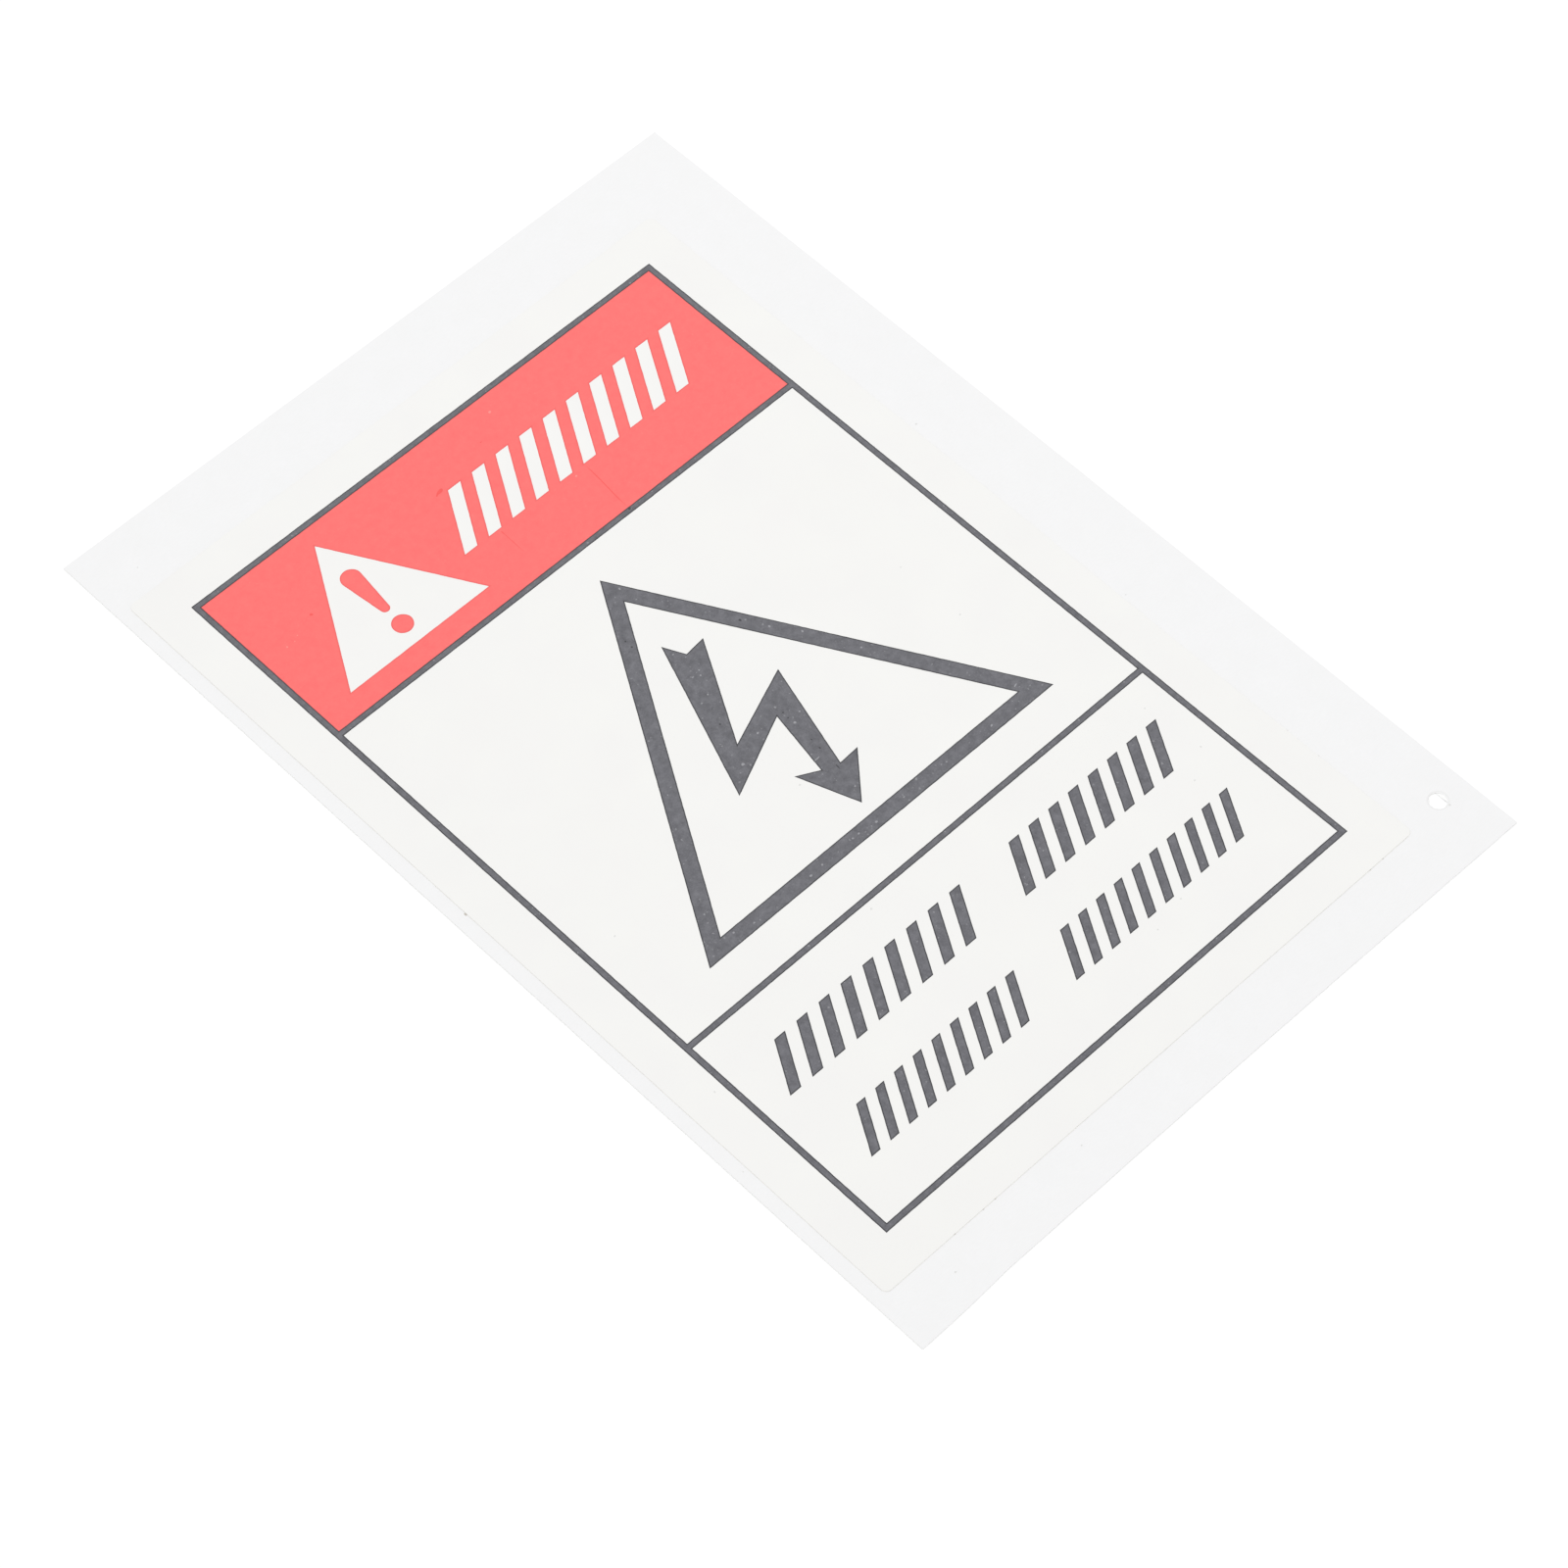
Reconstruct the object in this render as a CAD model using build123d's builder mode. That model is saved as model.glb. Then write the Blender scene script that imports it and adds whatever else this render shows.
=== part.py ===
from build123d import *

import os
from math import cos, radians, sqrt, tan

# A printed hazard sticker: a vinyl label, kiss-cut to size, on the larger release liner that it
# is peeled from. It lies flat with its printed side up. Sizes are in millimetres. The origin is
# the middle of the liner's underside, +Y is the top of the print and +Z faces up.

# Vinyl label. Its height is what the frame and the panels below come to, 150 mm, which makes
# it a plain 2:3 format. Its thickness takes in the adhesive on its back.
label_width = 100.0
label_thickness = 0.1
label_corner_radius = 1.0

# Release liner: it shows all round the label, by a different amount on each side
liner_thickness = 0.15
liner_margin_left = 2.15
liner_margin_right = 11.6
liner_margin_top = 11.5
liner_margin_bottom = 8.75

# Hang hole, punched through the liner beyond the label's lower right corner
hang_hole_diameter = 2.7
hang_hole_from_right = 5.4
hang_hole_from_bottom = 9.8

# Frame line of dark ink. Two dividers of the same width make three panels of it:
# the header at the top, the sign panel and the caption panel.
ink_thickness = 0.02
frame_inset = 6.25
frame_line = 1.0
header_depth = 29.0
sign_depth = 68.25
caption_depth = 36.25

# Attention sign: an equilateral triangle left bare in the header, round an exclamation mark.
# The mark and the clear spaces over and under it are scaled to the triangle's height.
attention_margin = 3.4
attention_lift = 0.25
attention_from_left = 5.4
mark_clear_above = 6.1
mark_stem_length = 9.35
mark_stem_radius = 1.6
mark_foot_radius = 0.75
mark_dot_gap = 1.35
mark_dot_radius = 1.6
mark_clear_below = 2.05

# Hazard sign: an open equilateral triangle in the sign panel, round a lightning bolt
hazard_margin = 5.85
hazard_lift = 0.4
hazard_stroke = 2.55
bolt_clear_above = 9.1
bolt_clear_below = 2.05

# The bolt's outline from its arrow's point at the foot, anticlockwise. X is measured from the
# sign's middle, and the whole outline is scaled to the height that the sign leaves it.
bolt_outline = [
    (0.2, 0.0),
    (6.15, 6.9),
    (2.7, 6.7),
    (7.35, 23.75),
    (-5.25, 18.7),
    (3.55, 34.75),
    (0.05, 34.4),
    (-1.6, 37.75),
    (-10.9, 12.4),
    (1.75, 18.15),
    (-0.05, 7.65),
    (-3.4, 9.45),
]

# Rows of plain strokes, which lean like the sides of the two triangles
stroke_lean = 30.0
header_row_gap = 1.3
header_row_from_right = 4.25
header_row_lift = 0.5
header_row_height = 10.0
header_stroke = 2.0
header_stroke_pitch = 4.6

# Two rows in the caption panel, each broken once. A break is placed by its middle.
row_spacing = 14.2
rows_lift = 0.7
upper_row_height = 7.6
upper_row_margin = 4.25
upper_row_break = 5.0
upper_row_break_x = 2.9
upper_stroke = 1.7
upper_stroke_pitch = 3.9
lower_row_height = 7.0
lower_row_margin = 5.45
lower_row_break = 4.8
lower_row_break_x = -1.6
lower_stroke = 1.4
lower_stroke_pitch = 3.4

# Liner and label places
frame_height = header_depth + sign_depth + caption_depth + 4 * frame_line
label_height = frame_height + 2 * frame_inset
liner_width = liner_margin_left + label_width + liner_margin_right
liner_height = liner_margin_bottom + label_height + liner_margin_top
label_x = (liner_margin_left - liner_margin_right) / 2
label_y = (liner_margin_bottom - liner_margin_top) / 2
label_plane = Plane((label_x, label_y, liner_thickness))
print_plane = Plane((label_x, label_y, liner_thickness + label_thickness))

# Panels, measured from the middle of the label
frame_width = label_width - 2 * frame_inset
panel_width = frame_width - 2 * frame_line
header_y = frame_height / 2 - frame_line - header_depth / 2
sign_y = header_y - header_depth / 2 - frame_line - sign_depth / 2
caption_y = sign_y - sign_depth / 2 - frame_line - caption_depth / 2

# Attention sign
attention_height = header_depth - 2 * attention_margin
attention_base = header_y + attention_lift - attention_height / 2
attention_half_side = attention_height / sqrt(3)
attention_x = -panel_width / 2 + attention_from_left + attention_half_side
mark_height = mark_stem_length + mark_dot_gap + 2 * mark_dot_radius
mark_scale = attention_height / (mark_clear_above + mark_height + mark_clear_below)

# Hazard sign: as large as the panel's depth and width allow
hazard_height = min(
    sign_depth - 2 * hazard_margin,
    (panel_width - 2 * hazard_margin) * sqrt(3) / 2,
)
hazard_base = sign_y + hazard_lift - hazard_height / 2
bolt_height = hazard_height - 3 * hazard_stroke - bolt_clear_above - bolt_clear_below
bolt_scale = bolt_height / max(y for x, y in bolt_outline)
bolt_foot = hazard_base + hazard_stroke + bolt_clear_below

# Rows of strokes
header_row_left = attention_x + attention_half_side + header_row_gap
header_row_right = panel_width / 2 - header_row_from_right
upper_row_y = caption_y + rows_lift + row_spacing / 2
lower_row_y = caption_y + rows_lift - row_spacing / 2


def standing_triangle(middle_x, base_y, height):
    """An equilateral triangle that stands on a level side."""
    half_side = height / sqrt(3)
    Polygon(
        (middle_x - half_side, base_y),
        (middle_x + half_side, base_y),
        (middle_x, base_y + height),
    )


def leaning_strokes(left, right, middle_y, height, stroke, pitch, mode=Mode.ADD):
    """One run of equal strokes that fills the width from left to right, close to the pitch."""
    lean = height * tan(radians(stroke_lean))
    width = stroke / cos(radians(stroke_lean))
    spread = right - left - lean - width
    count = max(2, round(spread / pitch) + 1)
    with Locations(((left + right) / 2, middle_y)):
        with GridLocations(spread / (count - 1), 0, count, 1):
            Polygon(
                (-(lean + width) / 2, -height / 2),
                (-(lean - width) / 2, -height / 2),
                ((lean + width) / 2, height / 2),
                ((lean - width) / 2, height / 2),
                mode=mode,
            )


def broken_row(middle_y, height, margin, gap, gap_x, stroke, pitch):
    """A row of strokes in two runs, with a gap between them."""
    end = panel_width / 2 - margin
    leaning_strokes(-end, gap_x - gap / 2, middle_y, height, stroke, pitch)
    leaning_strokes(gap_x + gap / 2, end, middle_y, height, stroke, pitch)


os.makedirs("parts", exist_ok=True)

# Release liner with its hang hole
with BuildPart() as release_liner:
    with BuildSketch():
        Rectangle(liner_width, liner_height)
        with Locations(
            (
                liner_width / 2 - hang_hole_from_right,
                -liner_height / 2 + hang_hole_from_bottom,
            )
        ):
            Circle(hang_hole_diameter / 2, mode=Mode.SUBTRACT)
    extrude(amount=liner_thickness)
release_liner.part.label = "release_liner"
export_step(release_liner.part, "parts/release_liner.step")

# Vinyl label, stuck to the liner face to face
with BuildPart() as vinyl_label:
    with BuildSketch(label_plane):
        RectangleRounded(label_width, label_height, label_corner_radius)
    extrude(amount=label_thickness)
vinyl_label.part.label = "vinyl_label"
export_step(vinyl_label.part, "parts/vinyl_label.step")

# Dark frame line with its two dividers: a rectangle with the three panels cut out of it
with BuildPart() as frame_print:
    with BuildSketch(print_plane):
        Rectangle(frame_width, frame_height)
        for panel_y, panel_depth in (
            (header_y, header_depth),
            (sign_y, sign_depth),
            (caption_y, caption_depth),
        ):
            with Locations((0, panel_y)):
                Rectangle(panel_width, panel_depth, mode=Mode.SUBTRACT)
    extrude(amount=ink_thickness)
frame_print.part.label = "frame_print"
export_step(frame_print.part, "parts/frame_print.step")

# Red header panel, with the attention sign's triangle and a row of strokes left bare
with BuildPart() as header_print:
    with BuildSketch(print_plane):
        with Locations((0, header_y)):
            Rectangle(panel_width, header_depth)
        with BuildSketch(mode=Mode.SUBTRACT):
            standing_triangle(attention_x, attention_base, attention_height)
            leaning_strokes(
                header_row_left,
                header_row_right,
                header_y + header_row_lift,
                header_row_height,
                header_stroke,
                header_stroke_pitch,
            )
    extrude(amount=ink_thickness)
header_print.part.label = "header_print"
export_step(header_print.part, "parts/header_print.step")

# Red exclamation mark: a tapered stem with round ends, over a dot
with BuildPart() as exclamation_mark_print:
    with BuildSketch(print_plane) as mark_sketch:
        stem_top = attention_base + attention_height - mark_scale * mark_clear_above
        stem_foot = stem_top - mark_scale * mark_stem_length
        with Locations((attention_x, stem_top - mark_scale * mark_stem_radius)):
            Circle(mark_scale * mark_stem_radius)
        with Locations((attention_x, stem_foot + mark_scale * mark_foot_radius)):
            Circle(mark_scale * mark_foot_radius)
        make_hull()
        dot_middle = stem_foot - mark_scale * (mark_dot_gap + mark_dot_radius)
        with Locations((attention_x, dot_middle)):
            Circle(mark_scale * mark_dot_radius)
    extrude(amount=ink_thickness)
exclamation_mark_print.part.label = "exclamation_mark_print"
export_step(exclamation_mark_print.part, "parts/exclamation_mark_print.step")

# Dark hazard triangle, open in the middle, with sharp corners
with BuildPart() as hazard_triangle_print:
    with BuildSketch(print_plane):
        standing_triangle(0, hazard_base, hazard_height)
        offset(amount=-hazard_stroke, kind=Kind.INTERSECTION, mode=Mode.SUBTRACT)
    extrude(amount=ink_thickness)
hazard_triangle_print.part.label = "hazard_triangle_print"
export_step(hazard_triangle_print.part, "parts/hazard_triangle_print.step")

# Dark lightning bolt, an arrow that points down inside the hazard triangle
with BuildPart() as lightning_bolt_print:
    with BuildSketch(print_plane):
        Polygon(*[(x * bolt_scale, bolt_foot + y * bolt_scale) for x, y in bolt_outline])
    extrude(amount=ink_thickness)
lightning_bolt_print.part.label = "lightning_bolt_print"
export_step(lightning_bolt_print.part, "parts/lightning_bolt_print.step")

# Two dark rows of strokes in the caption panel
with BuildPart() as upper_row_print:
    with BuildSketch(print_plane):
        broken_row(
            upper_row_y,
            upper_row_height,
            upper_row_margin,
            upper_row_break,
            upper_row_break_x,
            upper_stroke,
            upper_stroke_pitch,
        )
    extrude(amount=ink_thickness)
upper_row_print.part.label = "upper_row_print"
export_step(upper_row_print.part, "parts/upper_row_print.step")

with BuildPart() as lower_row_print:
    with BuildSketch(print_plane):
        broken_row(
            lower_row_y,
            lower_row_height,
            lower_row_margin,
            lower_row_break,
            lower_row_break_x,
            lower_stroke,
            lower_stroke_pitch,
        )
    extrude(amount=ink_thickness)
lower_row_print.part.label = "lower_row_print"
export_step(lower_row_print.part, "parts/lower_row_print.step")
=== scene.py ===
# %% [markdown]
# # A warning sticker, still on its release liner
#
# The real thing is a stack of very thin layers. At the bottom lies a sheet of silicone-coated
# paper, the release liner. On it sticks a smaller label of white vinyl film, and on the film
# lie a red and a dark ink. The whole stack is little more than a quarter of a millimetre high,
# so nearly everything the eye reads comes from edges, from the finish of the sheets and from
# the light.
#
# The measured solids arrive as a fixed frame. This script dresses them: each solid is replaced
# by a finer mesh in the same place, and each mesh gets the finish of the real material.

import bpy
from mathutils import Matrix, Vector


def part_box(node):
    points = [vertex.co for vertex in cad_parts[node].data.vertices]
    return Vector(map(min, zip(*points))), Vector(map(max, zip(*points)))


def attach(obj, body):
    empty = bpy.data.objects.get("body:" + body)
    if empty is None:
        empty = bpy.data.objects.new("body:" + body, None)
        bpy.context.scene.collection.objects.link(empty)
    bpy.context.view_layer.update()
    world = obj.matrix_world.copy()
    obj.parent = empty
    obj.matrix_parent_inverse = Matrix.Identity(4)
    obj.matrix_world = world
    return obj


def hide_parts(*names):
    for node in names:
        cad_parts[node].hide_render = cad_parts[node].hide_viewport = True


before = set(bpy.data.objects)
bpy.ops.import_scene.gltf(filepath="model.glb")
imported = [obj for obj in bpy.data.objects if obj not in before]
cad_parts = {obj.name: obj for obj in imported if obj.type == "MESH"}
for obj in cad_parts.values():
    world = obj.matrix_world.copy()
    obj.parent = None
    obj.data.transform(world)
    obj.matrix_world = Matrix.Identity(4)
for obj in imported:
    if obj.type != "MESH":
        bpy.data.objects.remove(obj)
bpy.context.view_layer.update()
print("frame nodes:", sorted(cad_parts))

# %% [markdown]
# ## Sizes
#
# Blender counts in metres, but a sticker is easier to think about in millimetres. So every size
# below is in millimetres, and one factor turns it to metres where Blender takes it in. The
# heights of the layers and the middle of the label are read from the frame, so they can't drift
# away from it.

# %% Units, layer heights and the label's middle
from math import cos, pi, radians, sin, sqrt, tan

import bmesh
import bpy
from mathutils import Matrix, Vector, noise
from mathutils.geometry import delaunay_2d_cdt

MM = 0.001


def box_mm(node):
    """Lowest and highest corner of a frame node, in millimetres."""
    low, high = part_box(node)
    return low / MM, high / MM


liner_low, liner_high = box_mm("release_liner")
label_low, label_high = box_mm("vinyl_label")
liner_top = liner_high.z
label_top = label_high.z
print_top = box_mm("frame_print")[1].z
label_middle = (label_low + label_high) / 2
print("layers in mm:", round(liner_top, 3), round(label_top, 3), round(print_top, 3))


def on_label(x, y, z=0.0):
    """A place given from the label's middle, in the frame of the whole sticker."""
    return Vector((label_middle.x + x, label_middle.y + y, z))


# %% [markdown]
# ## Camera
#
# A camera is three choices: where it looks, from which side, and how much it takes in. The
# sticker was photographed from high above its lower left corner, with a long lens, so its edges
# stay nearly parallel. An aim point and two angles say that more clearly than a position would:
# the position follows by walking back along the line of sight.

# %% Camera
camera_aim = on_label(-5.25, -10.1, print_top)
camera_distance = 688.0
camera_elevation = radians(56.78)
camera_heading = radians(46.66)
camera_roll = radians(-0.9)
focal_length = 116.3
sensor_width = 36.0
nearest_seen = 10.0


def towards(height, heading):
    """The direction of a place seen at an angle above the table and at a heading from +X."""
    return Vector((cos(height) * cos(heading), cos(height) * sin(heading), sin(height)))


sight = towards(-camera_elevation, camera_heading)
lens = bpy.data.cameras.new("camera")
lens.lens = focal_length
lens.sensor_width = sensor_width
lens.clip_start = nearest_seen * MM
camera = bpy.data.objects.new("camera", lens)
camera.location = (camera_aim - sight * camera_distance) * MM
turn = sight.to_track_quat("-Z", "Y").to_matrix().to_4x4()
roll = Matrix.Rotation(camera_roll, 4, "Z")
camera.rotation_euler = (turn @ roll).to_euler()
bpy.context.scene.collection.objects.link(camera)
bpy.context.scene.camera = camera
print("camera in mm:", [round(c, 1) for c in camera.location / MM])

# %% [markdown]
# ## Colour and nodes
#
# Colours picked from a screen are sRGB, while the renderer mixes light in linear values. One
# function turns a hex colour into a linear one. A second small function adds a shader node with
# its settings, and fills or links its inputs, so that a material reads like a recipe. A third
# starts each material in the same way.

# %% Three helpers: colour, node and new material


def srgb(text):
    """A hex colour such as #f4f4f2 as linear red, green, blue and alpha."""
    channels = [int(text[i:i + 2], 16) / 255 for i in (1, 3, 5)]
    linear = [c / 12.92 if c <= 0.04045 else ((c + 0.055) / 1.055) ** 2.4 for c in channels]
    return (*linear, 1.0)


def add_node(tree, kind, inputs=None, **settings):
    """Add one shader node, apply its settings, and fill or link its inputs by name or number."""
    node = tree.nodes.new(kind)
    for name, value in settings.items():
        setattr(node, name, value)
    for key, value in (inputs or {}).items():
        if isinstance(value, bpy.types.NodeSocket):
            tree.links.new(value, node.inputs[key])
        else:
            node.inputs[key].default_value = value
    return node


def start_material(name):
    """A new material, with its node tree, its shader and its coordinates in millimetres."""
    print("material:", name)
    material = bpy.data.materials.new(name)
    material.use_nodes = True
    tree = material.node_tree
    shader = tree.nodes["Principled BSDF"]
    place = add_node(tree, "ShaderNodeTexCoord")
    scaled = add_node(
        tree,
        "ShaderNodeVectorMath",
        {0: place.outputs["Object"], "Scale": 1 / MM},
        operation="SCALE",
    )
    return material, tree, shader, scaled.outputs[0]


# The two colour inputs and the colour output of a Mix node, by number
MIX_A = 6
MIX_B = 7
MIX_COLOUR = 2

# %% [markdown]
# ## Floor and light
#
# The sticker lies on matt white paper, which the photograph shows as pure white with no shadow
# to speak of. That is the light of a white tent: it comes from everywhere, with a little more
# from the far side. A bright even world gives the tent, and a sun lamp with a very wide angle
# gives the stronger side without a hard shadow. One white card stands beyond the sheet's upper
# right, across from the camera, so the light falls off a trace towards the viewer and the inks
# catch a soft sheen beyond the middle. The plain Standard view keeps white paper white.

# %% Floor and light
floor_drop = 0.02
floor_reach = 30000.0
floor_cloud = 60.0
tent_strength = 0.99
sun_strength = 0.34
sun_width = radians(80)
sun_height = radians(58)
sun_heading = radians(60)
card_power = 0.47
card_size = 500.0
card_distance = 900.0
card_height = radians(50)
card_heading = radians(44)

# Matt photo paper has hardly any gloss, and its white is only just uneven
floor_paper, tree, shader, mm = start_material("matt photo paper")
floor_clouds = add_node(
    tree, "ShaderNodeTexNoise", {"Vector": mm, "Scale": 1 / floor_cloud, "Detail": 3.0}
)
floor_tone = add_node(
    tree,
    "ShaderNodeMix",
    {0: floor_clouds.outputs[0], MIX_A: srgb("#f7f7f7"), MIX_B: srgb("#f9f9f9")},
    data_type="RGBA",
)
tree.links.new(floor_tone.outputs[MIX_COLOUR], shader.inputs["Base Color"])
shader.inputs["Roughness"].default_value = 0.9
shader.inputs["Specular IOR Level"].default_value = 0.2

half_floor = floor_reach * MM
floor_mesh = bpy.data.meshes.new("floor")
floor_mesh.from_pydata(
    [(x * half_floor, y * half_floor, 0) for x, y in ((-1, -1), (1, -1), (1, 1), (-1, 1))],
    [],
    [(0, 1, 2, 3)],
)
floor_mesh.materials.append(floor_paper)
floor = bpy.data.objects.new("floor", floor_mesh)
floor.location.z = -floor_drop * MM
bpy.context.scene.collection.objects.link(floor)

tent = bpy.data.worlds.new("light tent")
tent.use_nodes = True
tent_light = tent.node_tree.nodes["Background"]
tent_light.inputs["Color"].default_value = srgb("#ffffff")
tent_light.inputs["Strength"].default_value = tent_strength
bpy.context.scene.world = tent

sun_lamp = bpy.data.lights.new("window side", "SUN")
sun_lamp.energy = sun_strength
sun_lamp.angle = sun_width
sun = bpy.data.objects.new("window side", sun_lamp)
sun.rotation_euler = towards(sun_height, sun_heading).to_track_quat("Z", "Y").to_euler()
bpy.context.scene.collection.objects.link(sun)

card_lamp = bpy.data.lights.new("white card", "AREA")
card_lamp.energy = card_power
card_lamp.size = card_size * MM
card = bpy.data.objects.new("white card", card_lamp)
card.location = towards(card_height, card_heading) * (card_distance * MM)
card.rotation_euler = card.location.to_track_quat("Z", "Y").to_euler()
bpy.context.scene.collection.objects.link(card)
bpy.context.scene.view_settings.view_transform = "Standard"
tent_and_sun = tent_strength + sun_strength * sin(sun_height) / pi
print("light of tent and sun on level paper:", round(tent_and_sun, 3))

# %% [markdown]
# ## Outlines from the frame
#
# Each print is a flat shape with a thin wall. Drawing those shapes again would risk a slip, so
# the outlines are read from the top faces of the frame's own solids: an edge that belongs to
# only one of the top triangles is a border. Walked in order, the borders give closed outlines
# with the ink always on their left, anticlockwise outside and clockwise round a hole.

# %% Read the outlines of a node
# A face with more than this share of its normal upwards is a top face
FACING_UP = 0.5


def turn_angle(before, here, after):
    """How far an outline turns to the left at a point, in radians."""
    return (after - here).to_2d().angle_signed((here - before).to_2d(), 0.0)


def neighbours(outline):
    """Each point of a closed outline, between the one before and the one after."""
    return list(zip(outline[-1:] + outline[:-1], outline, outline[1:] + outline[:1]))


def top_outlines(node, straight=radians(0.2)):
    """The outlines of a node's top face, in millimetres, without the points on straight runs."""
    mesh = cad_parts[node].data
    edges = set()
    for face in mesh.polygons:
        if face.normal.z < FACING_UP:
            continue
        ring = [tuple(round(c / MM, 4) for c in mesh.vertices[i].co.xy) for i in face.vertices]
        edges.update(zip(ring, ring[1:] + ring[:1]))
    onward = {a: b for a, b in sorted(edges) if (b, a) not in edges}
    outlines = []
    while onward:
        start, here = onward.popitem()
        outline = [start]
        while here != start:
            outline.append(here)
            here = onward.pop(here)
        points = [Vector(point) for point in outline]
        outlines.append(
            [b for a, b, c in neighbours(points) if abs(turn_angle(a, b, c)) > straight]
        )
    return outlines


for node in sorted(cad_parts):
    print(node, "outlines with points:", [len(outline) for outline in top_outlines(node)])

# %% [markdown]
# ## From outline to film
#
# A film is its outline drawn again and again, each time a little further in and a little
# higher. Side walls join one ring to the next, which rounds the edge, and a level face closes
# the top and the foot. Offsetting with mitred corners keeps one point for each point, so the
# rings always match.
#
# No cut or printed edge is a ruled line, so points are added along the straight runs and then
# pushed about by a smooth noise of a few hundredths of a millimetre. The push depends only on
# the place, so prints that lie side by side are pushed alike.

# %% Offset an outline and round it out


def inset(outline, depth, blunt=0.2):
    """The outline moved to its left by a depth, with mitred corners, very sharp ones blunted."""
    moved = []
    for before, here, after in neighbours(outline):
        along_in = (here - before).normalized()
        along_out = (after - here).normalized()
        left_in = Vector((-along_in.y, along_in.x))
        left_out = Vector((-along_out.y, along_out.x))
        reach = depth / max(blunt, 1 + left_in.dot(left_out))
        moved.append(here + (left_in + left_out) * reach)
    return moved


def round_out(outline, sharp=radians(40), uneven=2.5):
    """Halve each chord of the outline's round stretches, with the new point out on the arc."""
    count = len(outline)
    turns = [turn_angle(*three) for three in neighbours(outline)]
    chords = [outline[(i + 1) % count] - outline[i] for i in range(count)]
    finer = []
    for i, here in enumerate(outline):
        turn, turn_after = turns[i], turns[(i + 1) % count]
        chord = chords[i]
        shorter = min(chords[i - 1].length, chords[(i + 1) % count].length)
        finer.append(here)
        bends_on = turn * turn_after > 0 and max(abs(turn), abs(turn_after)) < sharp
        if bends_on and chord.length < shorter * uneven:
            arc = max(abs(turn), abs(turn_after)) * (1 if turn > 0 else -1)
            bulge = Vector((chord.y, -chord.x)) * tan(arc / 4) / 2
            finer.append(here + chord / 2 + bulge)
    return finer


# %% Add points and unsettle them


def add_points(outline, spacing, clear, margin=1.2, most=0.45):
    """Points added along the runs of an outline, kept clear of its sharp corners.

    The clearance has a margin, and at either end it takes up at most a share of the run.
    """
    turns = [abs(turn_angle(*three)) for three in neighbours(outline)]
    finer = []
    for i, here in enumerate(outline):
        after = outline[(i + 1) % len(outline)]
        length = (after - here).length
        start = min(clear * tan(turns[i] / 2) * margin, length * most)
        end = min(clear * tan(turns[(i + 1) % len(outline)] / 2) * margin, length * most)
        count = int((length - start - end) / spacing)
        finer.append(here)
        for k in range(count):
            share = (start + (length - start - end) * (k + 0.5) / count) / length
            finer.append(here.lerp(after, share))
    return finer


# A second layer of the same noise pushes along Y, so that the two pushes differ
other_layer = Vector((0.0, 0.0, 7.5))


def unsettle(point, reach, period=0.8):
    """Push a point about by a smooth noise that depends only on its place."""
    place = Vector((point.x, point.y, 0.0)) / period
    push = Vector((noise.noise(place), noise.noise(place + other_layer)))
    return point + push * reach


# %% From a mesh in millimetres to a piece of the sticker


def finish_piece(name, builder, materials, stands_for=()):
    """Turn a mesh in millimetres into a piece of the sticker, in metres."""
    bmesh.ops.scale(builder, vec=(MM, MM, MM), verts=builder.verts)
    mesh = bpy.data.meshes.new(name)
    builder.to_mesh(mesh)
    builder.free()
    for material in materials:
        mesh.materials.append(material)
    piece = bpy.data.objects.new(name, mesh)
    bpy.context.scene.collection.objects.link(piece)
    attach(piece, "root")
    if stands_for:
        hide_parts(*stands_for)
    print(name, "faces:", len(mesh.polygons))


# %% Walls and level faces


def join_rings(builder, low, high):
    """The wall between two closed rings that have the same number of points."""
    for a, b, c, d in zip(low, low[1:] + low[:1], high[1:] + high[:1], high):
        builder.faces.new((a, b, c, d))


def close_level(builder, rings, up):
    """Fill the level area between closed rings of points, facing up or down."""
    corners = []
    loops = []
    for ring in rings:
        loop = list(range(len(corners), len(corners) + len(ring)))
        turns = [turn_angle(a.co, b.co, c.co) for a, b, c in neighbours(ring)]
        loops.append(loop if sum(turns) > 0 else loop[::-1])
        corners += ring
    places = [corner.co.to_2d() for corner in corners]
    triangles_inside = 1
    close_enough = 1e-7
    filled = delaunay_2d_cdt(places, [], loops, triangles_inside, close_enough)
    faces, sources, rings_round = filled[2], filled[3], filled[5]
    for face, around in zip(faces, rings_round):
        # Film lies inside one ring, while a place inside two rings is a hole in the film
        if len(around) == 1:
            points = [corners[sources[i][0]] for i in face]
            builder.faces.new(points if up else points[::-1])


# %% Build a film from its outlines


def build_film(outlines, section, reach, period=0.8, spacing=0.3):
    """A closed film. Each step of its section is an inset, a height and a share of rim tone."""
    builder = bmesh.new()
    weight = builder.verts.layers.float.new("ink_edge")
    deepest = max(depth for depth, height, edge in section)
    foot_rings = []
    top_rings = []
    for outline in outlines:
        base = add_points(outline, spacing, deepest)
        rings = []
        for depth, height, edge in section:
            ring = []
            for point in inset(base, depth):
                settled = unsettle(point, reach, period)
                corner = builder.verts.new((settled.x, settled.y, height))
                corner[weight] = edge
                ring.append(corner)
            rings.append(ring)
        for low, high in zip(rings, rings[1:]):
            join_rings(builder, low, high)
        foot_rings.append(rings[0])
        top_rings.append(rings[-1])
    close_level(builder, foot_rings, up=False)
    close_level(builder, top_rings, up=True)
    return builder


def face_and_rest(builder):
    """Give the first material to the top faces and the second to the walls and the foot."""
    for face in builder.faces:
        face.normal_update()
        face.material_index = 0 if face.normal.z > FACING_UP else 1


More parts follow.
